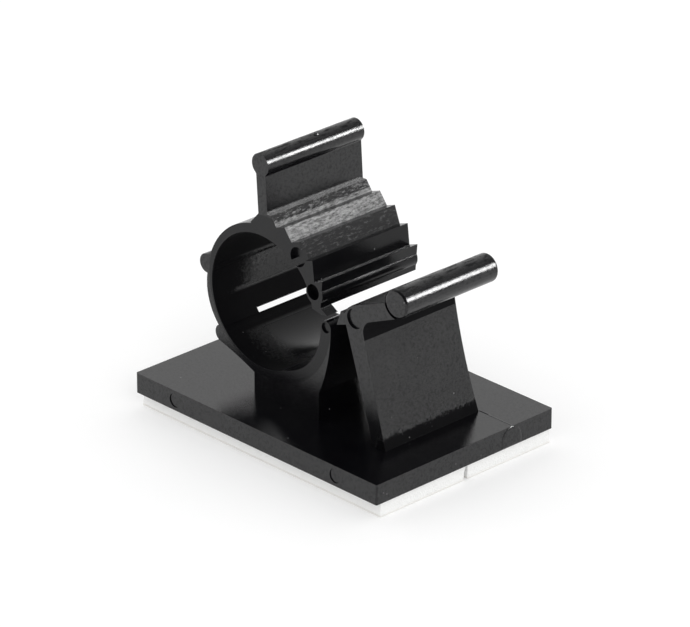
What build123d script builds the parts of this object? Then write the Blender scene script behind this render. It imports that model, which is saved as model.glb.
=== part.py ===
"""Releasable cable clip on a self-adhesive base: one nylon moulding on two strips of foam tape."""

import os
from math import atan2, cos, degrees, hypot, radians, sin, sqrt, tan

from build123d import *

# All sizes are in millimetres and all angles in degrees. X runs along the base from the hinge to the
# latch, Y along the cable and Z up, from the middle of the underside. The profile lies in the XZ
# plane. A size named "rise" is a height above the base plate's top.

# Base plate
base_length = 28.5
base_width = 20.0
base_thickness = 1.8
base_corner_round = 0.15

# Foam tape and its release paper, in two strips side by side
foam_thickness = 1.2
liner_thickness = 0.15
tape_left_margin = 0.05
tape_right_margin = 0.15
tape_front_margin = 0.6
tape_rear_margin = 0.05
tape_gap_y = 0.38
tape_gap_top = 0.05
tape_gap_bottom = 0.36

# Depth of the moulded profile along the cable
clip_depth = 10.7

# Bore for the cable
bore_radius = 5.85
bore_x = -4.0
bore_rise = 8.4

# Living hinge, with a round rib at each end and a slot that leaves a narrow neck at the front
hinge_wall_top = 0.52
hinge_wall_middle = 0.71
hinge_wall_bottom = 0.46
hinge_middle_angle = 191.0
upper_rib_radius = 0.84
upper_rib_proud = 0.07
upper_rib_angle = 168.7
lower_rib_radius = 0.77
lower_rib_proud = 0.09
lower_rib_angle = 223.2
slot_angle = 217.4
slot_height = 0.475
slot_length = 3.1
neck_depth = 3.95

# Cradle under the cable
cradle_wall_tip = 1.45
cradle_wall_middle = 0.68
cradle_wall_root = 0.85
cradle_tip_angle = 225.0
cradle_middle_angle = 243.0
cradle_root_angle = 262.5

# Horn on the latch side of the cradle, round its own centre
horn_shift = 1.64
horn_radius = 5.365
horn_wall_top = 1.17
horn_wall_middle = 1.55
horn_wall_root = 2.45
horn_top_angle = 2.0
horn_middle_angle = -29.0
horn_root_angle = -49.0

# Arm from the upper rib to the thumb tab
arm_wall_hinge = 0.6
arm_wall_middle = 0.72
arm_wall_tab = 0.95
tab_angle = 87.0

# Toothed end of the arm, round its own centre
rack_shift_x = 1.0
rack_shift_rise = 0.58
rack_inner_radius = 5.09
rack_tip_radius = 7.13
rack_end_angle = 9.3
rack_end_wall = 1.03
tooth_count = 4
first_tooth_angle = 75.3
tooth_pitch = 15.2
ledge_length = 0.98
ledge_angle = 19.5
boss_radius = 0.95
boss_offset = 5.72
boss_angle = 22.8

# Lead-in nib at the front of the arm's end
nib_depth = 1.2
nib_length = 0.86
nib_angle = -30.0
nib_tip_width = 0.62
nib_tip_angle = 12.0

# Thumb tab
tab_thickness = 1.07
tab_lean = 3.7
tab_length = 5.3
tab_bead_radius = 0.97
tab_neck_round = 0.25
gusset_height = 1.0
gusset_reach = 1.55
heel_height = 1.15
heel_reach = 0.95

# Latch leg
leg_foot_x = 9.09
leg_foot_thickness = 1.4
leg_inner_lean = 18.0
leg_outer_lean = 15.2
latch_foot_inset = 0.12
latch_waist_inset = 0.47
latch_waist_rise = 4.5
latch_rear_inset = 0.33

# Pawl of the latch, with its nose
pawl_radius = 1.05
pawl_x = 6.92
pawl_rise = 10.53
nose_reach = 1.05
nose_drop = 0.85
nose_height = 1.35
nose_back = 0.45

# Sloping head and release bar
head_angle = 21.5
head_rise = 1.1
head_thickness = 1.5
head_end_thickness = 1.35
head_end_inset = 0.1
head_round = 1.2
bar_radius = 1.22
bar_distance = 5.62
bar_angle = 31.3
bar_front_overhang = 0.12
bar_rear_inset = 0.5
bar_edge_round = 0.2
bar_groove_width = 0.14
bar_groove_depth = 0.25
bar_groove_shift = 0.1
bar_groove_angle = 205.0

# Ejector pin marks in the front faces
boss_pin_radius = 0.68
boss_pin_depth = 0.6
boss_pin_offset = 5.62
boss_pin_angle = 24.2
arm_pin_radius = 0.85
arm_pin_depth = 0.45
arm_pin_offset = 5.86
arm_pin_angle = 55.0
pawl_pin_radius = 0.86
horn_pin_radius = 0.46
shallow_pin_depth = 0.18
base_pin_radius = 0.62
base_pin_depth = 0.08
base_pin_x = 9.5

# Places worked out from the sizes above
base_bottom = liner_thickness + foam_thickness
base_top = base_bottom + base_thickness
root_height = base_top - base_thickness / 2
front = -clip_depth / 2
rear = clip_depth / 2
front_plane = Plane.XZ.offset(-front)
bore_centre = (bore_x, base_top + bore_rise)
horn_centre = (bore_x + horn_shift, base_top + bore_rise)
rack_centre = (bore_x + rack_shift_x, base_top + bore_rise + rack_shift_rise)
pawl_centre = (pawl_x, base_top + pawl_rise)


def polar(centre, radius, angle):
    """Point of the profile at a radius and angle from another point."""
    return (centre[0] + radius * cos(radians(angle)), centre[1] + radius * sin(radians(angle)))


def angle_from(centre, point):
    """Angle of a point of the profile, seen from another point."""
    return degrees(atan2(point[1] - centre[1], point[0] - centre[0]))


def arc(centre, radius, start, end):
    """Arc of the profile round a centre, between two angles."""
    middle = polar(centre, radius, (start + end) / 2)
    return ThreePointArc(polar(centre, radius, start), middle, polar(centre, radius, end))


def tooth_tip(number):
    """Tip of a ratchet tooth, counted from the thumb tab."""
    return polar(rack_centre, rack_tip_radius, first_tooth_angle - number * tooth_pitch)


def tooth_root(number):
    """Notch before a ratchet tooth, at the inner end of its ledge."""
    return polar(tooth_tip(number), -ledge_length, ledge_angle)


def on_tab(across, up):
    """Point of the profile in the leaning frame of the thumb tab."""
    return polar(polar(tab_foot, across, tab_lean), up, tab_lean + 90)


def on_head(along, up):
    """Point of the profile in the sloping frame of the latch head, from the pawl's centre."""
    return polar(polar(pawl_centre, along, head_angle), up, head_angle + 90)


def leg_inside(height):
    """Point on the latch leg's inner side at a height."""
    return (leg_foot_x - (height - base_top) * tan(radians(leg_inner_lean)), height)


def leg_outside(height):
    """Point on the latch leg's outer side at a height."""
    return (leg_foot_x + leg_foot_thickness - (height - base_top) * tan(radians(leg_outer_lean)), height)


# Ribs and the arm's landmarks
upper_rib = polar(bore_centre, bore_radius + upper_rib_radius - upper_rib_proud, upper_rib_angle)
lower_rib = polar(bore_centre, bore_radius + lower_rib_radius - lower_rib_proud, lower_rib_angle)
tab_foot = polar(bore_centre, bore_radius + arm_wall_tab, tab_angle)
arm_end_inside = polar(rack_centre, rack_inner_radius, rack_end_angle)
arm_end_outside = polar(arm_end_inside, rack_end_wall, ledge_angle)
boss_centre = polar(rack_centre, boss_offset, boss_angle)
horn_top = polar(horn_centre, horn_radius + horn_wall_top / 2, horn_top_angle)

# The bore's circle and the inside of the rack cross on the line at right angles to the rack's shift
rack_shift = hypot(rack_shift_x, rack_shift_rise)
shift_angle = angle_from(bore_centre, rack_centre)
chord_offset = (bore_radius**2 - rack_inner_radius**2 + rack_shift**2) / (2 * rack_shift)
half_chord = sqrt(bore_radius**2 - chord_offset**2)
rack_start = polar(polar(bore_centre, chord_offset, shift_angle), half_chord, shift_angle + 90)

# The cradle's floor is the line that touches both the bore's circle and the horn's
radius_step = bore_radius - horn_radius
floor_angle = -degrees(atan2(sqrt(horn_shift**2 - radius_step**2), radius_step))

# The underside of the head meets the outside of the leg at the crook
head_bottom = on_head(0, head_rise - head_thickness)
crook_slope = tan(radians(head_angle))
crook_fall = tan(radians(leg_outer_lean))
leg_offset = leg_outside(head_bottom[1])[0] - head_bottom[0]
crook_x = leg_offset / (1 + crook_fall * crook_slope)
crook = (head_bottom[0] + crook_x, head_bottom[1] + crook_x * crook_slope)

# The head ends inside the release bar
bar_centre = polar(pawl_centre, bar_distance, bar_angle)
head_end = bar_distance * cos(radians(bar_angle - head_angle)) - head_end_inset
latch_top = bar_centre[1] + bar_radius
bar_length = clip_depth + bar_front_overhang - bar_rear_inset

os.makedirs("parts", exist_ok=True)

# Pedestal, cradle and horn, with the lower rib
with BuildSketch(Plane.XZ) as cradle_profile:
    with BuildLine():
        inside = arc(bore_centre, bore_radius, lower_rib_angle - 360, floor_angle)
        floor = Line(inside @ 1, polar(horn_centre, horn_radius, floor_angle))
        horn_inside = arc(horn_centre, horn_radius, floor_angle, horn_top_angle)
        horn_outside = ThreePointArc(
            polar(horn_centre, horn_radius + horn_wall_top, horn_top_angle),
            polar(horn_centre, horn_radius + horn_wall_middle, horn_middle_angle),
            polar(horn_centre, horn_radius + horn_wall_root, horn_root_angle),
        )
        Line(horn_inside @ 1, horn_outside @ 0)
        underside = ThreePointArc(
            polar(bore_centre, bore_radius + cradle_wall_root, cradle_root_angle),
            polar(bore_centre, bore_radius + cradle_wall_middle, cradle_middle_angle),
            polar(bore_centre, bore_radius + cradle_wall_tip, cradle_tip_angle),
        )
        pedestal_right = ((horn_outside @ 1).X, root_height)
        pedestal_left = ((underside @ 0).X, root_height)
        Polyline(horn_outside @ 1, pedestal_right, pedestal_left, underside @ 0)
        Line(underside @ 1, inside @ 0)
    make_face()
    with Locations(horn_top):
        Circle(horn_wall_top / 2)
    with Locations(lower_rib):
        Circle(lower_rib_radius)

# Living hinge
with BuildSketch(Plane.XZ) as hinge_profile:
    with BuildLine():
        hinge_inside = arc(bore_centre, bore_radius, upper_rib_angle, lower_rib_angle)
        hinge_outside = ThreePointArc(
            polar(bore_centre, bore_radius + hinge_wall_top, upper_rib_angle),
            polar(bore_centre, bore_radius + hinge_wall_middle, hinge_middle_angle),
            polar(bore_centre, bore_radius + hinge_wall_bottom, lower_rib_angle),
        )
        Line(hinge_inside @ 0, hinge_outside @ 0)
        Line(hinge_inside @ 1, hinge_outside @ 1)
    make_face()

# Slot behind the hinge's neck, which cuts away the top of the lower rib
with BuildSketch(front_plane.offset(-neck_depth)) as slot_profile:
    with Locations(polar(bore_centre, bore_radius, slot_angle)):
        Rectangle(slot_length, slot_height, rotation=slot_angle)

# Arm with its ratchet teeth and the upper rib
with BuildSketch(Plane.XZ) as arm_profile:
    with BuildLine():
        arm_inside = arc(bore_centre, bore_radius, upper_rib_angle, angle_from(bore_centre, rack_start))
        arc(rack_centre, rack_inner_radius, angle_from(rack_centre, rack_start), rack_end_angle)
        teeth = [point for number in range(tooth_count) for point in (tooth_root(number), tooth_tip(number))]
        Polyline(arm_end_inside, arm_end_outside, *reversed(teeth), tab_foot)
        arm_outside = ThreePointArc(
            tab_foot,
            polar(bore_centre, bore_radius + arm_wall_middle, (upper_rib_angle + tab_angle) / 2),
            polar(bore_centre, bore_radius + arm_wall_hinge, upper_rib_angle),
        )
        Line(arm_outside @ 1, arm_inside @ 0)
    make_face()
    with Locations(boss_centre):
        Circle(boss_radius)
    with Locations(upper_rib):
        Circle(upper_rib_radius)

# Lead-in nib that carries the arm's end over the horn
with BuildSketch(front_plane) as nib_profile:
    with BuildLine():
        nib_tip = polar(arm_end_outside, nib_length, nib_angle)
        nib_underside = polar(nib_tip, -nib_tip_width, nib_tip_angle)
        Polyline(arm_end_inside, arm_end_outside, nib_tip, nib_underside, close=True)
    make_face()

# Thumb tab with its bead, gusset and heel
with BuildSketch(Plane.XZ) as tab_profile:
    with BuildLine():
        Polyline(
            on_tab(-tab_thickness / 2, tab_length),
            on_tab(-tab_thickness / 2, gusset_height),
            on_tab(-gusset_reach, 0),
            on_tab(-gusset_reach / 2, -arm_wall_tab / 2),
            tooth_root(0),
            on_tab(heel_reach, heel_height),
            on_tab(tab_thickness / 2, heel_height),
            on_tab(tab_thickness / 2, tab_length),
            close=True,
        )
    make_face()
    with Locations(on_tab(0, tab_length)):
        Circle(tab_bead_radius)
    for side in (-tab_thickness / 2, tab_thickness / 2):
        neck = on_tab(side, tab_length - sqrt(tab_bead_radius**2 - side**2))
        fillet(tab_profile.vertices().sort_by_distance(neck)[0], tab_neck_round)

# Latch leg and sloping head, with the nose of the pawl
with BuildSketch(front_plane) as latch_profile:
    with BuildLine():
        Polyline(
            leg_inside(root_height),
            leg_inside(pawl_centre[1]),
            on_head(0, head_rise),
            on_head(head_end, head_rise),
            on_head(head_end, head_rise - head_end_thickness),
            crook,
            leg_outside(root_height),
            close=True,
        )
    make_face()
    fillet(latch_profile.vertices().sort_by_distance(crook)[0], head_round)
    with Locations(pawl_centre):
        Circle(pawl_radius)
    with BuildLine():
        nose_root = (pawl_centre[0] - pawl_radius, pawl_centre[1] - nose_drop)
        nose_tip = polar(nose_root, -nose_reach, ledge_angle)
        nose_top = (nose_tip[0] + nose_back, nose_tip[1] + nose_height)
        Polyline(nose_root, nose_tip, nose_top, pawl_centre, close=True)
    make_face()

# Latch, whose leg has a slight waist in its rear face
with BuildPart() as latch:
    extrude(latch_profile.sketch, amount=-clip_depth)
    with BuildSketch(Plane.YZ):
        with BuildLine():
            waist = ThreePointArc(
                (rear - latch_foot_inset, base_top),
                (rear - latch_waist_inset, base_top + latch_waist_rise),
                (rear - latch_rear_inset, crook[1]),
            )
            latch_corner = (rear - latch_rear_inset, latch_top)
            Polyline(waist @ 1, latch_corner, (rear, latch_top), (rear, base_top), waist @ 0)
        make_face()
    extrude(amount=base_length / 2, both=True, mode=Mode.SUBTRACT)

# Release bar, a little proud of the head's front
with BuildPart() as release_bar:
    with Locations(front_plane.offset(bar_front_overhang)):
        with Locations(bar_centre):
            Cylinder(bar_radius, bar_length, align=(Align.CENTER, Align.CENTER, Align.MAX))
    fillet(release_bar.edges().filter_by(GeomType.CIRCLE), bar_edge_round)

# The whole moulding
with BuildPart() as clip_body:
    with BuildSketch(Plane.XY.offset(base_bottom)):
        RectangleRounded(base_length, base_width, base_corner_round)
    extrude(amount=base_thickness)
    for profile in (cradle_profile, hinge_profile, arm_profile, tab_profile):
        extrude(profile.sketch, amount=clip_depth / 2, both=True)
    add(latch.part)
    extrude(nib_profile.sketch, amount=-nib_depth)
    with BuildSketch(front_plane):
        with Locations(polar(bar_centre, bar_groove_shift, bar_groove_angle)):
            Circle(bar_radius + bar_groove_width)
    extrude(amount=-bar_groove_depth, mode=Mode.SUBTRACT)
    add(release_bar.part)
    extrude(slot_profile.sketch, amount=-clip_depth, mode=Mode.SUBTRACT)
    for place, radius, depth in (
        (polar(rack_centre, boss_pin_offset, boss_pin_angle), boss_pin_radius, boss_pin_depth),
        (polar(rack_centre, arm_pin_offset, arm_pin_angle), arm_pin_radius, arm_pin_depth),
        (pawl_centre, pawl_pin_radius, shallow_pin_depth),
        (horn_top, horn_pin_radius, shallow_pin_depth),
    ):
        with BuildSketch(front_plane):
            with Locations(place):
                Circle(radius)
        extrude(amount=-depth, mode=Mode.SUBTRACT)
    for pin_x in (-base_pin_x, base_pin_x):
        with BuildSketch(Plane.XZ.offset(base_width / 2)):
            with Locations((pin_x, root_height)):
                Circle(base_pin_radius)
        extrude(amount=-base_pin_depth, mode=Mode.SUBTRACT)

clip_body.part.label = "clip_body"
export_step(clip_body.part, "parts/clip_body.step")

# Two foam strips under the base, with a wedge-shaped gap between them
strip_x = tape_left_margin - base_length / 2
strip_length = base_length - tape_left_margin - tape_right_margin
strip_align = (Align.MIN, Align.MIN, Align.MIN)
front_strip_y = tape_front_margin - base_width / 2
rear_strip_width = base_width / 2 - tape_rear_margin - tape_gap_y

with BuildPart() as foam_strip_front:
    with BuildSketch(Plane.YZ.offset(strip_x)):
        with BuildLine():
            Polyline(
                (front_strip_y, liner_thickness),
                (tape_gap_y - tape_gap_bottom, liner_thickness),
                (tape_gap_y - tape_gap_top, base_bottom),
                (front_strip_y, base_bottom),
                close=True,
            )
        make_face()
    extrude(amount=strip_length)

foam_strip_front.part.label = "foam_strip_front"
export_step(foam_strip_front.part, "parts/foam_strip_front.step")

with BuildPart() as foam_strip_rear:
    with Locations((strip_x, tape_gap_y, liner_thickness)):
        Box(strip_length, rear_strip_width, foam_thickness, align=strip_align)

foam_strip_rear.part.label = "foam_strip_rear"
export_step(foam_strip_rear.part, "parts/foam_strip_rear.step")

# Release paper under each strip
with BuildPart() as liner_front:
    with Locations((strip_x, front_strip_y, 0)):
        Box(strip_length, tape_gap_y - tape_gap_bottom - front_strip_y, liner_thickness, align=strip_align)

liner_front.part.label = "liner_front"
export_step(liner_front.part, "parts/liner_front.step")

with BuildPart() as liner_rear:
    with Locations((strip_x, tape_gap_y, 0)):
        Box(strip_length, rear_strip_width, liner_thickness, align=strip_align)

liner_rear.part.label = "liner_rear"
export_step(liner_rear.part, "parts/liner_rear.step")
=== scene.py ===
"""Dressed scene of the adhesive cable clip: nylon body, foam tape and release paper on a pale floor."""

from math import cos, pi, radians, sin

import bmesh
import bpy
from mathutils import Matrix, Vector, noise

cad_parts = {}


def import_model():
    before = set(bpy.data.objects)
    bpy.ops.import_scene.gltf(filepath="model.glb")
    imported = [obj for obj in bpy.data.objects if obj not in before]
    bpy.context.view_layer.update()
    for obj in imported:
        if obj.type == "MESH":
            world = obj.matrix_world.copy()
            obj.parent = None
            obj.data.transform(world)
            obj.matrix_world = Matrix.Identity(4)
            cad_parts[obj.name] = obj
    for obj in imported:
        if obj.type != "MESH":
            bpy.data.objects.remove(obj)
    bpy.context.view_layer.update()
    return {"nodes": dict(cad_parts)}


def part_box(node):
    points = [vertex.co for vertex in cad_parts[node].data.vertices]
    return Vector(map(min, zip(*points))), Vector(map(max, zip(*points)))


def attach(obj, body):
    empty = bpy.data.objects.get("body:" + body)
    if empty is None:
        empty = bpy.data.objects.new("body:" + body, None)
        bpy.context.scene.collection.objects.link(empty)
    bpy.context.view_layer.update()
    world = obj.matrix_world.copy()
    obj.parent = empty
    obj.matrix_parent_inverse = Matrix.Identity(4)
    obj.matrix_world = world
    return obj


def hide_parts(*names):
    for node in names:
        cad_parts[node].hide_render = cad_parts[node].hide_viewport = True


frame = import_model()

scene = bpy.context.scene

# The clip's own sizes are in millimetres and its angles in degrees. These turn them into metres and radians.
MM = 0.001
DEGREE = radians(1)

# Camera: a long lens on the photograph's viewing line
CAMERA_TARGET = Vector((0.0, 0.2036, 11.294)) * MM
CAMERA_AZIMUTH = 46.10989
CAMERA_ELEVATION = 25.07216
CAMERA_DISTANCE = 406.786 * MM
CAMERA_RIGHT = 0.0357 * MM
CAMERA_DOWN = 1.1487 * MM
SENSOR_WIDTH = 36.0
LENS = 260.87
CLIP_START = 0.01
CLIP_END = 20.0

# Studio: floor size in metres, light levels, and the side where the room is white
FLOOR_HALF = 6.0
FLOOR_GLOW = 0.17
FLOOR_TONES = (0.85, 0.86)
FILL_LIGHT = 0.98
DIM_WALL = 0.1
BACKDROP_SIDE = (-0.72, 0.69, 0.0)
BACKDROP_EDGE = (-0.15, 0.8)
HORIZON = (0.01, 0.07)
WHITE = (1.0, 1.0, 1.0, 1.0)

# Places on the clip, in millimetres
REAR = 5.35
BASE_TOP = 3.15
BASE_RIGHT = 14.25
LEG_FOOT_RIGHT = 10.45

# Axes along Y that the nylon's finish and its painted shade follow, each with its reach, in millimetres
BORE_CENTRE = Vector((-4.0, 0.0, 11.55))
BORE_REACH = 5.9
RACK_CENTRE = Vector((-3.0, 0.0, 12.13))
RACK_REACH = 7.2
BEAD_CENTRE = Vector((-3.986, 0.0, 23.63))
BEAD_REACH = 1.0
BAR_CENTRE = Vector((11.722, 0.0, 16.6))
BAR_REACH = 1.26
CROOK_CENTRE = Vector((8.15, 0.0, 13.3))
CROOK_REACH = 1.2
FOOT_CENTRE = Vector((LEG_FOOT_RIGHT, 0.0, BASE_TOP))
FOOT_REACH = 1.05
FOOT_EDGE = 0.75
SHARP_EDGE = 0.02

# Limits of the zones of scuff marks, painted highlight and painted shade, each with a soft edge: heights and
# places along Y in millimetres
SECOND_RAMP_FOOT = (16.8, 16.84)
RAMP_FOOT = (17.9, 17.96)
RAMP_TOP = (19.7, 19.8)
HEEL_FOOT = (18.98, 19.02)
OVER_BASE = (BASE_TOP + 0.001, BASE_TOP + 0.003)
BORE_SHADE = (-5.0, 0.0)

# Limits of the zones of painted shade round the bore's axis, in degrees above +X
ARM_START = (60, 62)
UPPER_RIB = (166, 168)
HINGE_END = (-167, -165)
WEB_START = (-165, -162)
WEB_END = (-131, -127)

# Slopes of the faces with scuff marks, partly a painted highlight, in degrees above +X, and limits of a
# normal's parts
RAMP_NORMAL_ANGLE = 38.2
SECOND_RAMP_ANGLE = 21.2
SAME_DIRECTION = (0.985, 0.992)
FRONT_FACE = (0.4, 0.6)
TOP_SIDE = (0.76, 0.8)
FACING_UP = (0.9, 0.95)

# Nylon: base colours, and the strength of its reflections in each zone
NYLON_DARK = (0.0022, 0.0021, 0.0030)
NYLON_LIGHT = (0.0042, 0.0042, 0.0048)
# The pale scuff grey is partly a painted highlight on the ramp and heel faces
SCUFF_AND_HIGHLIGHT_GREY = 0.50
SPECK_GREY = 0.18
BORE_TINT = 0.8
TEETH_TINT = 0.42
WORN_TINT = 0.15
# Painted shade: a near-black tint that takes the reflections out of parts of the bore, the leg's foot and the
# crook under the head; the same tint darkens blotches on top of bead and bar. The hinge's web, also painted
# shade, keeps no reflection at all
PAINTED_SHADE_AND_BLOTCH_TINT = 0.03
WEB_TINT = 0.0
HINGE_SHADE = 0.3

# Nylon: how noise sets a strength, as (noise from, noise to, strength at the first, strength at the second)
# The tooth and heel scuff marks set here are partly a painted highlight
TOOTH_SCUFFS_AND_HIGHLIGHT = (0.38, 0.62, 0.08, 1.0)
HEEL_SCUFFS_AND_HIGHLIGHT = (0.50, 0.64, 0.03, 0.8)
SECOND_SCUFFS = (0.52, 0.70, 0.0, 0.35)
BLOTCHES = (0.47, 0.58, 0.0, 0.75)
PEPPER = (0.40, 0.50, 0.62, 1.0)
CLOUDY_SKIN = (0.3, 0.7, 0.17, 0.24)
RUBBED_SKIN = (0.35, 0.65, 0.16, 0.24)

# Nylon: limits of its patchy zones of painted shade, in the sum of a zone's own strength and the noise of the
# patches
BORE_PATCHES = (0.75, 1.25)
FOOT_PATCHES = (0.85, 1.1)

# Nylon: roughness in each zone, and depth of its grain and scuffs in millimetres
POLISHED = 0.09
TEETH_ROUGHNESS = 0.2
DULL = 0.8
SCUFFED_ROUGHNESS = 0.5
GRAIN_DEPTH = 0.008
SCUFF_DEPTH = 0.02
NYLON_IOR = 1.5

# Specks on the nylon: size of a cell in millimetres, the spot in it, and how few cells hold one
SPECK_CELL = 0.55
SPECK_SPOT = (0.06, 0.16)
SPECK_LOTTERY = (0.975, 0.985)

# Tape: edges of each strip as (share of the height, how far drawn in), and how uneven they are, with the
# frequency of the unevenness across and upward
FOAM_LEVELS = (
    (0.0, 0.03), (0.04, 0.01), (0.2, 0.02), (0.4, 0.05), (0.6, 0.05), (0.8, 0.02), (0.91, 0.02),
    (0.93, 0.16), (1.0, 0.16),
)
FOAM_WAVINESS = 0.03
PAPER_LEVELS = ((0.0, 0.01), (0.3, 0.0), (0.8, 0.0), (1.0, 0.02))
PAPER_WAVINESS = 0.012
PORE_SHARE = 0.4
RIPPLE = (0.9, 0.6)
PORES = (4.0, 4.0)
STRIP_CORNER = 0.12
CORNER_TURNS = 4
LONG_STEPS = 90
SHORT_STEPS = 30
GAP_SLANT = 0.31

# Gate mark: an arch on two legs, as (how far proud, how far its outline is drawn in)
GATE_CENTRE = (5.25, 1.98)
GATE_RADIUS = 1.15
GATE_FOOT = 1.37
GATE_LEVELS = ((-0.02, 0.0), (0.0, 0.0), (0.02, 0.03), (0.035, 0.08), (0.045, 0.15), (0.05, 0.25))
GATE_TURNS = 18

# Nick on the thumb tab's bead: a lump of rings of points
NICK_CENTRE = Vector((-3.82, 0.68, 24.57))
NICK_RADIUS = 0.2
NICK_FLATNESS = 0.7
NICK_LENGTHENING = 1.3
NICK_UNEVENNESS = 0.35
NICK_RINGS = 8
NICK_POINTS = 14
NICK_RIPPLE = (1.7, 0.45)

# Parting line: its section as (along Y, height), its steps along X and how far it sways
LINE_SECTION = ((-0.07, -0.02), (-0.05, 0.008), (0.0, 0.02), (0.05, 0.008), (0.07, -0.02))
LINE_STEPS = 24
LINE_INSET = 0.02
LINE_SWAY = 0.02
LINE_RIPPLE = 1.3


def camera():
    """Camera on the photograph's viewing line, moved a little to the right and down."""
    azimuth = radians(CAMERA_AZIMUTH)
    elevation = radians(CAMERA_ELEVATION)
    back = Vector((sin(azimuth) * cos(elevation), -cos(azimuth) * cos(elevation), sin(elevation)))
    right = Vector((cos(azimuth), sin(azimuth), 0.0))
    up = back.cross(right)
    lens = bpy.data.cameras.new("camera")
    lens.sensor_width = SENSOR_WIDTH
    lens.lens = LENS
    lens.clip_start = CLIP_START
    lens.clip_end = CLIP_END
    holder = bpy.data.objects.new("camera", lens)
    place = Matrix((right, up, back)).transposed().to_4x4()
    place.translation = CAMERA_TARGET + back * CAMERA_DISTANCE + right * CAMERA_RIGHT - up * CAMERA_DOWN
    holder.matrix_world = place
    scene.collection.objects.link(holder)
    scene.camera = holder


def grey(level):
    """Colour of an even grey."""
    return (level, level, level, 1.0)


class Nodes:
    """Short helper that builds one node material, or the world's nodes."""

    def __init__(self, owner):
        world = isinstance(owner, bpy.types.World)
        self.material = owner if world else bpy.data.materials.new(owner)
        self.material.use_nodes = True
        self.tree = self.material.node_tree
        self.tree.nodes.clear()
        self.output = self.add("ShaderNodeOutputWorld" if world else "ShaderNodeOutputMaterial")

    def add(self, kind, **settings):
        node = self.tree.nodes.new(kind)
        for key, value in settings.items():
            setattr(node, key, value)
        return node

    def link(self, source, target):
        self.tree.links.new(source, target)

    def connect(self, socket, value):
        """Links a socket, or sets it to a number or colour."""
        if isinstance(value, bpy.types.NodeSocket):
            self.link(value, socket)
        else:
            socket.default_value = value

    def math(self, operation, a, b=0.0):
        node = self.add("ShaderNodeMath", operation=operation)
        self.connect(node.inputs[0], a)
        self.connect(node.inputs[1], b)
        return node.outputs[0]

    def combine(self, operation, first, *others):
        """Applies an operation to the first two values, then to the result and the next one, and so on."""
        for other in others:
            first = self.math(operation, first, other)
        return first

    def split(self, vector):
        """The X, Y and Z parts of a vector."""
        node = self.add("ShaderNodeSeparateXYZ")
        self.link(vector, node.inputs[0])
        return node.outputs[:]

    def vector_math(self, operation, vector, constant):
        """Number that an operation gives for a vector and a constant vector."""
        node = self.add("ShaderNodeVectorMath", operation=operation)
        self.link(vector, node.inputs[0])
        node.inputs[1].default_value = constant
        return node.outputs["Value"]

    def ramp(self, factor, *stops):
        node = self.add("ShaderNodeValToRGB")
        for element, (place, tone) in zip(node.color_ramp.elements, stops):
            element.position = place
            element.color = grey(tone) if isinstance(tone, float) else (*tone, 1.0)
        self.link(factor, node.inputs[0])
        return node.outputs[0]

    def map_range(self, value, low, high, to_low, to_high):
        node = self.add("ShaderNodeMapRange", clamp=True)
        self.link(value, node.inputs["Value"])
        for name, number in (("From Min", low), ("From Max", high), ("To Min", to_low), ("To Max", to_high)):
            node.inputs[name].default_value = number
        return node.outputs["Result"]

    def rise(self, value, limits, scale=1.0):
        """0 below two limits and 1 above them. The limits are in units of the scale."""
        return self.map_range(value, limits[0] * scale, limits[1] * scale, 0.0, 1.0)

    def fall(self, value, limits, scale=1.0):
        """1 below two limits and 0 above them. The limits are in units of the scale."""
        return self.map_range(value, limits[0] * scale, limits[1] * scale, 1.0, 0.0)

    def mix(self, factor, a, b):
        node = self.add("ShaderNodeMix", data_type="FLOAT")
        for socket, value in zip(node.inputs[:1] + node.inputs[2:4], (factor, a, b)):
            self.connect(socket, value)
        return node.outputs[0]

    def mix_colour(self, factor, a, b):
        node = self.add("ShaderNodeMix", data_type="RGBA")
        for socket, value in zip(node.inputs[:1] + node.inputs[6:8], (factor, a, b)):
            self.connect(socket, value)
        return node.outputs[2]

    def place(self, stretch=(1.0, 1.0, 1.0)):
        """Position on the part in metres, stretched along the axes."""
        coordinates = self.add("ShaderNodeTexCoord").outputs["Object"]
        mapping = self.add("ShaderNodeMapping")
        mapping.inputs["Scale"].default_value = stretch
        self.link(coordinates, mapping.inputs["Vector"])
        return mapping.outputs["Vector"]

    def noise(self, place, size, detail=3.0, roughness=0.6):
        """Noise whose blobs are about one size across, in millimetres."""
        node = self.add("ShaderNodeTexNoise")
        self.link(place, node.inputs["Vector"])
        node.inputs["Scale"].default_value = 1.0 / (size * MM)
        node.inputs["Detail"].default_value = detail
        node.inputs["Roughness"].default_value = roughness
        return node.outputs["Fac"]

    def cells(self, place, size):
        """Cells of one size, in millimetres."""
        node = self.add("ShaderNodeTexVoronoi")
        self.link(place, node.inputs["Vector"])
        node.inputs["Scale"].default_value = 1.0 / (size * MM)
        return node.outputs

    def bump(self, height, depth, normal=None):
        """Bump whose height goes from 0 to a depth in millimetres."""
        node = self.add("ShaderNodeBump")
        node.inputs["Strength"].default_value = 1.0
        node.inputs["Distance"].default_value = depth * MM
        self.link(height, node.inputs["Height"])
        if normal is not None:
            self.link(normal, node.inputs["Normal"])
        return node.outputs["Normal"]

    def background(self, strength):
        """White background of some strength."""
        node = self.add("ShaderNodeBackground")
        node.inputs["Color"].default_value = WHITE
        self.connect(node.inputs["Strength"], strength)
        return node

    def mix_shader(self, factor, first, second):
        node = self.add("ShaderNodeMixShader")
        self.link(factor, node.inputs[0])
        self.link(first.outputs[0], node.inputs[1])
        self.link(second.outputs[0], node.inputs[2])
        return node

    def surface(self, **sockets):
        shader = self.add("ShaderNodeBsdfPrincipled")
        for name, value in sockets.items():
            self.connect(shader.inputs[name.replace("_", " ")], value)
        self.link(shader.outputs[0], self.output.inputs["Surface"])
        return self.material


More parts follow.
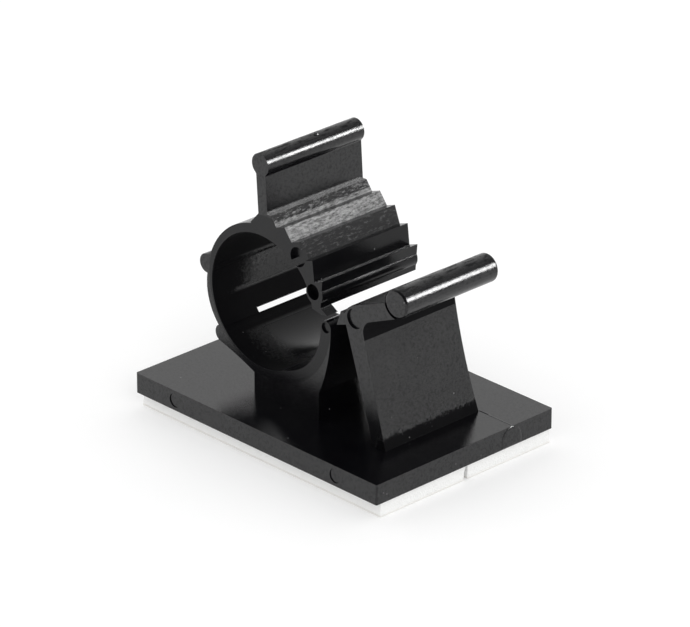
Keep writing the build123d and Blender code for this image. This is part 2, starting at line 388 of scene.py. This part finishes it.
def near_axis(nodes, flat, centre, reach, edge=SHARP_EDGE):
    """1 within reach of an axis along Y, 0 outside it, with an edge that may be wide."""
    distance = nodes.vector_math("DISTANCE", flat, centre * MM)
    return nodes.fall(distance, (reach - edge, reach + edge), MM)


def facing(nodes, normal, slope):
    """1 on flat faces whose normal leans at an angle above the X axis, 0 elsewhere."""
    match = nodes.vector_math("DOT_PRODUCT", normal, (cos(radians(slope)), 0.0, sin(radians(slope))))
    return nodes.rise(match, SAME_DIRECTION)


def speck_mask(nodes, place):
    """1 in a few tiny specks of dust and nicked plastic, 0 between them."""
    cells = nodes.cells(place, SPECK_CELL)
    spot = nodes.fall(cells["Distance"], SPECK_SPOT)
    lottery = nodes.add("ShaderNodeSeparateColor")
    nodes.link(cells["Color"], lottery.inputs[0])
    return nodes.math("MULTIPLY", spot, nodes.rise(lottery.outputs[0], SPECK_LOTTERY))


def nylon():
    """Black moulded nylon: a glossy skin with a fine grain, painted shade in dark dull zones, and scuff marks
    on the upper teeth, partly a painted highlight.
    """
    nodes = Nodes("black_nylon")
    place = nodes.place()
    x, y, height = nodes.split(place)
    normal = nodes.add("ShaderNodeNewGeometry").outputs["True Normal"]
    normal_y, normal_z = nodes.split(normal)[1:]
    flat = nodes.add("ShaderNodeCombineXYZ")
    nodes.link(x, flat.inputs["X"])
    nodes.link(height, flat.inputs["Z"])
    flat = flat.outputs[0]
    cloudy = nodes.noise(place, size=2.6, detail=4.0)
    patches = nodes.noise(place, size=0.28, detail=3.0, roughness=0.8)

    # Rack and bore, with the turn round the bore's axis
    rack = near_axis(nodes, flat, RACK_CENTRE, RACK_REACH)
    bore = near_axis(nodes, flat, BORE_CENTRE, BORE_REACH)
    teeth = nodes.math("MULTIPLY", rack, nodes.math("SUBTRACT", 1.0, bore))
    turn = nodes.math("ARCTAN2", nodes.math("SUBTRACT", height, BORE_CENTRE.z * MM),
                      nodes.math("SUBTRACT", x, BORE_CENTRE.x * MM))

    # Scuff marks, painted pale: on the two faces that lean out at the ramp angle, where they are also a
    # painted highlight, and a little on the next tooth's face
    second = nodes.combine("MULTIPLY", nodes.rise(height, SECOND_RAMP_FOOT, MM), rack,
                           facing(nodes, normal, SECOND_RAMP_ANGLE))
    patch = nodes.combine("MULTIPLY", facing(nodes, normal, RAMP_NORMAL_ANGLE),
                          nodes.rise(height, RAMP_FOOT, MM), nodes.fall(height, RAMP_TOP, MM))
    heel = nodes.rise(height, HEEL_FOOT, MM)
    worn = nodes.math("MAXIMUM", second, nodes.math("MULTIPLY", patch, heel))
    streaks = nodes.noise(nodes.place(stretch=(1.0, 0.3, 1.0)), size=0.20, detail=6.0, roughness=0.85)
    scuff_and_highlight_strength = nodes.mix(heel, nodes.map_range(streaks, *TOOTH_SCUFFS_AND_HIGHLIGHT), nodes.map_range(streaks, *HEEL_SCUFFS_AND_HIGHLIGHT))
    flecks = nodes.map_range(streaks, *SECOND_SCUFFS)
    scuffs_and_highlight = nodes.math("ADD", nodes.math("MULTIPLY", patch, scuff_and_highlight_strength), nodes.math("MULTIPLY", second, flecks))

    # Painted shade on the hinge's web, on the bore's side: no reflection and a dull skin
    web = nodes.combine("MULTIPLY", nodes.rise(turn, WEB_START, DEGREE), nodes.fall(turn, WEB_END, DEGREE),
                        bore)

    # Painted shade in the bore, as a darker, duller skin: most of its front half, all of it under the arm,
    # more by the hinge
    hinge = nodes.combine("MULTIPLY", nodes.fall(turn, HINGE_END, DEGREE), nodes.math("LESS_THAN", turn, 0.0))
    hinge = nodes.math("MAXIMUM", nodes.rise(turn, UPPER_RIB, DEGREE), hinge)
    hinge = nodes.math("MULTIPLY", hinge, HINGE_SHADE)
    deep = nodes.combine("ADD", nodes.fall(y, BORE_SHADE, MM), patches, hinge)
    in_bore = nodes.math("MULTIPLY", nodes.rise(deep, BORE_PATCHES), bore)
    under_arm = nodes.combine("MULTIPLY", nodes.rise(turn, ARM_START, DEGREE),
                              nodes.fall(turn, UPPER_RIB, DEGREE), bore)

    # Painted shade at the leg's foot and under the head, as a darker, duller skin; the same skin in blotches
    # on top of bead and bar
    foot = nodes.math("ADD", near_axis(nodes, flat, FOOT_CENTRE, FOOT_REACH, FOOT_EDGE), patches)
    foot = nodes.math("MULTIPLY", nodes.rise(foot, FOOT_PATCHES), nodes.rise(height, OVER_BASE, MM))
    sideways = nodes.fall(nodes.math("ABSOLUTE", normal_y), FRONT_FACE)
    crook = nodes.math("MULTIPLY", near_axis(nodes, flat, CROOK_CENTRE, CROOK_REACH), sideways)
    rounds = nodes.math("MAXIMUM", near_axis(nodes, flat, BEAD_CENTRE, BEAD_REACH),
                        near_axis(nodes, flat, BAR_CENTRE, BAR_REACH))
    blotches = nodes.noise(nodes.place(stretch=(1.0, 0.25, 1.0)), size=0.35, detail=4.0, roughness=0.8)
    blotches = nodes.combine("MULTIPLY", nodes.map_range(blotches, *BLOTCHES), nodes.rise(normal_z, TOP_SIDE),
                             rounds)
    painted_shade_and_blotches = nodes.combine("MAXIMUM", in_bore, under_arm, foot, crook, blotches)

    black = nodes.ramp(cloudy, (0.35, NYLON_DARK), (0.7, NYLON_LIGHT))
    specks = nodes.math("MULTIPLY", speck_mask(nodes, place), nodes.math("SUBTRACT", 1.0, patch))
    # Pale scuff marks, which on the ramp and heel faces are also a painted highlight
    colour = nodes.mix_colour(scuffs_and_highlight, black, grey(SCUFF_AND_HIGHLIGHT_GREY))
    colour = nodes.mix_colour(specks, colour, grey(SPECK_GREY))

    pepper = nodes.noise(place, size=0.24, detail=3.0, roughness=0.8)
    tint = nodes.mix_colour(nodes.map_range(pepper, *PEPPER), grey(0.0), grey(1.0))
    # Reflection strength per zone; the near-black tints are painted shade in the bore, on the hinge's web, at
    # the leg's foot and under the head
    for zone, level in ((bore, BORE_TINT), (teeth, TEETH_TINT), (worn, WORN_TINT), (painted_shade_and_blotches, PAINTED_SHADE_AND_BLOTCH_TINT),
                        (web, WEB_TINT)):
        tint = nodes.mix_colour(zone, tint, grey(level))

    polished = nodes.math("MAXIMUM", nodes.rise(normal_z, FACING_UP), bore)
    rubbed = nodes.noise(nodes.place(stretch=(1.0, 0.2, 1.0)), size=0.3)
    roughness = nodes.map_range(cloudy, *CLOUDY_SKIN)
    for zone, level in ((polished, POLISHED), (rounds, nodes.map_range(rubbed, *RUBBED_SKIN)),
                        (teeth, TEETH_ROUGHNESS), (nodes.math("MAXIMUM", web, painted_shade_and_blotches), DULL),
                        (nodes.math("MAXIMUM", patch, second), SCUFFED_ROUGHNESS)):
        roughness = nodes.mix(zone, roughness, level)

    relief = nodes.bump(nodes.noise(place, size=0.075, detail=1.0), GRAIN_DEPTH)
    relief = nodes.bump(scuffs_and_highlight, SCUFF_DEPTH, relief)
    return nodes.surface(Base_Color=colour, Roughness=roughness, Normal=relief, Specular_Tint=tint,
                         IOR=NYLON_IOR)


def foam():
    """White closed-cell foam tape."""
    nodes = Nodes("white_foam")
    place = nodes.place()
    cloud = nodes.noise(place, size=0.5)
    colour = nodes.ramp(cloud, (0.3, (0.92, 0.92, 0.91)), (0.7, (0.96, 0.96, 0.95)))
    relief = nodes.bump(nodes.cells(place, size=0.16)["Distance"], depth=0.03)
    return nodes.surface(Base_Color=colour, Roughness=0.85, Normal=relief)


def paper():
    """Release paper: pale, with a faint fibre and a slight waxy sheen."""
    nodes = Nodes("release_paper")
    fibre = nodes.noise(nodes.place(stretch=(1.0, 4.0, 4.0)), size=0.35, detail=5.0)
    cloud = nodes.noise(nodes.place(), size=4.0, detail=2.0)
    colour = nodes.ramp(cloud, (0.3, (0.82, 0.81, 0.78)), (0.7, (0.86, 0.85, 0.82)))
    roughness = nodes.map_range(fibre, 0.3, 0.7, 0.42, 0.6)
    relief = nodes.bump(fibre, depth=0.01)
    return nodes.surface(Base_Color=colour, Roughness=roughness, Normal=relief)


def floor():
    """Pale floor that looks white to the camera and in reflections, and keeps its shadow."""
    mesh = bpy.data.meshes.new("floor")
    corners = [(x * FLOOR_HALF, y * FLOOR_HALF, 0) for x, y in ((-1, -1), (1, -1), (1, 1), (-1, 1))]
    mesh.from_pydata(corners, [], [(0, 1, 2, 3)])
    plane = bpy.data.objects.new("floor", mesh)
    scene.collection.objects.link(plane)
    nodes = Nodes("pale_floor")
    grain = nodes.noise(nodes.place(), size=30.0, detail=2.0)
    matt = nodes.add("ShaderNodeBsdfDiffuse")
    nodes.link(nodes.ramp(grain, *zip((0.3, 0.7), FLOOR_TONES)), matt.inputs["Color"])
    glow = nodes.add("ShaderNodeEmission")
    rays = nodes.add("ShaderNodeLightPath").outputs
    seen = nodes.combine("MAXIMUM", rays["Is Camera Ray"], rays["Is Glossy Ray"], rays["Is Transmission Ray"])
    nodes.link(nodes.math("MULTIPLY", seen, FLOOR_GLOW), glow.inputs["Strength"])
    both = nodes.add("ShaderNodeAddShader")
    nodes.link(matt.outputs[0], both.inputs[0])
    nodes.link(glow.outputs[0], both.inputs[1])
    nodes.link(both.outputs[0], nodes.output.inputs["Surface"])
    mesh.materials.append(nodes.material)


def world():
    """White surroundings to the camera, a plain fill light for matt surfaces, and a room in reflections."""
    sky = bpy.data.worlds.new("studio")
    scene.world = sky
    nodes = Nodes(sky)

    # The room is white up to the horizon and on the backdrop, and dimmer above and opposite
    direction = nodes.add("ShaderNodeTexCoord").outputs["Generated"]
    towards = nodes.vector_math("DOT_PRODUCT", direction, BACKDROP_SIDE)
    walls = nodes.map_range(towards, *BACKDROP_EDGE, DIM_WALL, 1.0)
    over_horizon = nodes.rise(nodes.split(direction)[2], HORIZON)
    room = nodes.background(nodes.mix(over_horizon, 1.0, walls))

    rays = nodes.add("ShaderNodeLightPath").outputs
    reflected = nodes.math("MAXIMUM", rays["Is Glossy Ray"], rays["Is Transmission Ray"])
    matt_or_room = nodes.mix_shader(reflected, nodes.background(FILL_LIGHT), room)
    everything = nodes.mix_shader(rays["Is Camera Ray"], matt_or_room, nodes.background(1.0))
    nodes.link(everything.outputs[0], nodes.output.inputs["Surface"])


def softbox(name, direction, distance, width, height, brightness, rays):
    """Rectangular soft light that faces the clip, with the brightness of its face as seen in a mirror.

    It lights either matt surfaces (DIFFUSE rays) or reflections (GLOSSY rays). Sizes are in metres.
    """
    lamp = bpy.data.lights.new(name, "AREA")
    lamp.shape = "RECTANGLE"
    lamp.size = width
    lamp.size_y = height
    lamp.energy = brightness * pi * width * height
    holder = bpy.data.objects.new(name, lamp)
    direction = Vector(direction).normalized()
    holder.visible_diffuse = rays == "DIFFUSE"
    holder.visible_glossy = rays == "GLOSSY"
    holder.location = CAMERA_TARGET + direction * distance
    holder.rotation_mode = "QUATERNION"
    holder.rotation_quaternion = direction.to_track_quat("Z", "Y")
    scene.collection.objects.link(holder)


def loft(name, rings, material):
    """Closed piece through rings of points in millimetres, with a flat cap on the first and the last."""
    form = bmesh.new()
    loops = [[form.verts.new(Vector(point) * MM) for point in ring] for ring in rings]
    count = len(loops[0])
    for lower, upper in zip(loops, loops[1:]):
        for i in range(count):
            j = (i + 1) % count
            form.faces.new((lower[i], lower[j], upper[j], upper[i]))
    form.faces.new(reversed(loops[0]))
    form.faces.new(loops[-1])
    bmesh.ops.recalc_face_normals(form, faces=form.faces)
    mesh = bpy.data.meshes.new(name)
    form.to_mesh(mesh)
    form.free()
    mesh.materials.append(material)
    piece = bpy.data.objects.new(name, mesh)
    scene.collection.objects.link(piece)
    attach(piece, "root")
    return piece


def rectangle(low, high, corner, steps):
    """Points round a rectangle with small round corners, each with its outward direction."""
    points = []
    ends = (
        (high[0] - corner, low[1] + corner, -90, steps[1]), (high[0] - corner, high[1] - corner, 0, steps[0]),
        (low[0] + corner, high[1] - corner, 90, steps[1]), (low[0] + corner, low[1] + corner, 180, steps[0]),
    )
    for number, (x, y, start, run_steps) in enumerate(ends):
        for turn in range(CORNER_TURNS + 1):
            angle = radians(start + turn * 90 / CORNER_TURNS)
            out = Vector((cos(angle), sin(angle)))
            points.append((Vector((x, y)) + out * corner, out))
        next_x, next_y, next_start, _ = ends[(number + 1) % len(ends)]
        next_out = Vector((cos(radians(next_start)), sin(radians(next_start))))
        first = points[-1][0]
        last = Vector((next_x, next_y)) + next_out * corner
        points += [(first.lerp(last, step / run_steps), out) for step in range(1, run_steps)]
    return points


def unevenness(point, z, across, upward):
    """Smooth noise between 0 and 1 at a point, with a frequency across and another upward."""
    return 0.5 + 0.5 * noise.noise(Vector((point.x * across, point.y * across, z * upward)))


def strip(name, low, high, slant, levels, waviness, material):
    """Die-cut strip in a box. Its end at +Y slants in by an amount at the bottom.

    Each level is a share of its height and how far its sides are drawn in there.
    """
    rings = []
    for share, inset in levels:
        z = low.z + (high.z - low.z) * share
        y_high = high.y - slant + slant * share
        ring = []
        steps = (LONG_STEPS, SHORT_STEPS)
        for point, out in rectangle((low.x, low.y), (high.x, y_high), STRIP_CORNER, steps):
            ripple = unevenness(point, z, *RIPPLE)
            pores = unevenness(point, z, *PORES)
            drawn = point - out * (inset + waviness * ripple + waviness * PORE_SHARE * pores)
            ring.append((drawn.x, drawn.y, z))
        rings.append(ring)
    return loft(name, rings, material)


def tape():
    """Two foam strips on their release papers, in place of the plain CAD strips."""
    white_foam = foam()
    white_paper = paper()
    for side in ("front", "rear"):
        for kind, levels, waviness, material in (
            ("foam_strip", FOAM_LEVELS, FOAM_WAVINESS, white_foam),
            ("liner", PAPER_LEVELS, PAPER_WAVINESS, white_paper),
        ):
            node = kind + "_" + side
            low, high = [Vector(corner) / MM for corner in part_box(node)]
            slant = GAP_SLANT if node == "foam_strip_front" else 0.0
            piece = strip("die_cut_" + node, low, high, slant, levels, waviness, material)
            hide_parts(node)


def gate_mark(material):
    """Arched mark of the gate on the base's right end."""
    rings = []
    for proud, inset in GATE_LEVELS:
        radius = GATE_RADIUS - inset
        turns = [radians(turn * 180 / GATE_TURNS) for turn in range(GATE_TURNS + 1)]
        arch = [(GATE_CENTRE[0] + radius * cos(turn), GATE_CENTRE[1] + radius * sin(turn)) for turn in turns]
        legs = [(GATE_CENTRE[0] - radius, GATE_FOOT + inset), (GATE_CENTRE[0] + radius, GATE_FOOT + inset)]
        rings.append([(BASE_RIGHT + proud, y, z) for y, z in arch + legs])
    loft("gate_mark", rings, material)


def bead_nick(material):
    """Small uneven nick on top of the thumb tab's bead."""
    rings = []
    for step in range(1, NICK_RINGS):
        angle = pi * step / NICK_RINGS
        size = NICK_RADIUS * sin(angle)
        height = NICK_FLATNESS * NICK_RADIUS * cos(angle)
        ring = []
        for turn in range(NICK_POINTS):
            around = 2 * pi * turn / NICK_POINTS
            place = (cos(around) * NICK_RIPPLE[0], sin(around) * NICK_RIPPLE[0], step * NICK_RIPPLE[1])
            rough = 1.0 + NICK_UNEVENNESS * noise.noise(Vector(place))
            ring.append((NICK_CENTRE.x + size * rough * cos(around),
                         NICK_CENTRE.y + size * rough * sin(around) * NICK_LENGTHENING,
                         NICK_CENTRE.z + height * rough))
        rings.append(ring)
    loft("bead_nick", rings, material)


def parting_line(material):
    """Low ridge of the mould's parting line, from the leg's foot over the base to its right end."""
    rings = []
    for step in range(LINE_STEPS + 1):
        x = LEG_FOOT_RIGHT + (BASE_RIGHT - LINE_INSET - LEG_FOOT_RIGHT) * step / LINE_STEPS
        sway = LINE_SWAY * noise.noise(Vector((x * LINE_RIPPLE, 0.0, 0.0)))
        rings.append([(x, REAR + y + sway, BASE_TOP + z) for y, z in LINE_SECTION])
    loft("parting_line", rings, material)


camera()
world()
floor()
softbox("strip", direction=(0.7217, 0.6164, 0.38), distance=0.5, width=0.11, height=0.16, brightness=40.0,
        rays="GLOSSY")
softbox("key", direction=(0.65, -0.40, 0.50), distance=0.6, width=0.30, height=0.30, brightness=1.8,
        rays="DIFFUSE")

body = frame["nodes"]["clip_body"]
black_nylon = nylon()
body.data.materials.clear()
body.data.materials.append(black_nylon)
tape()
gate_mark(black_nylon)
bead_nick(black_nylon)
parting_line(black_nylon)

scene.view_settings.view_transform = "Standard"
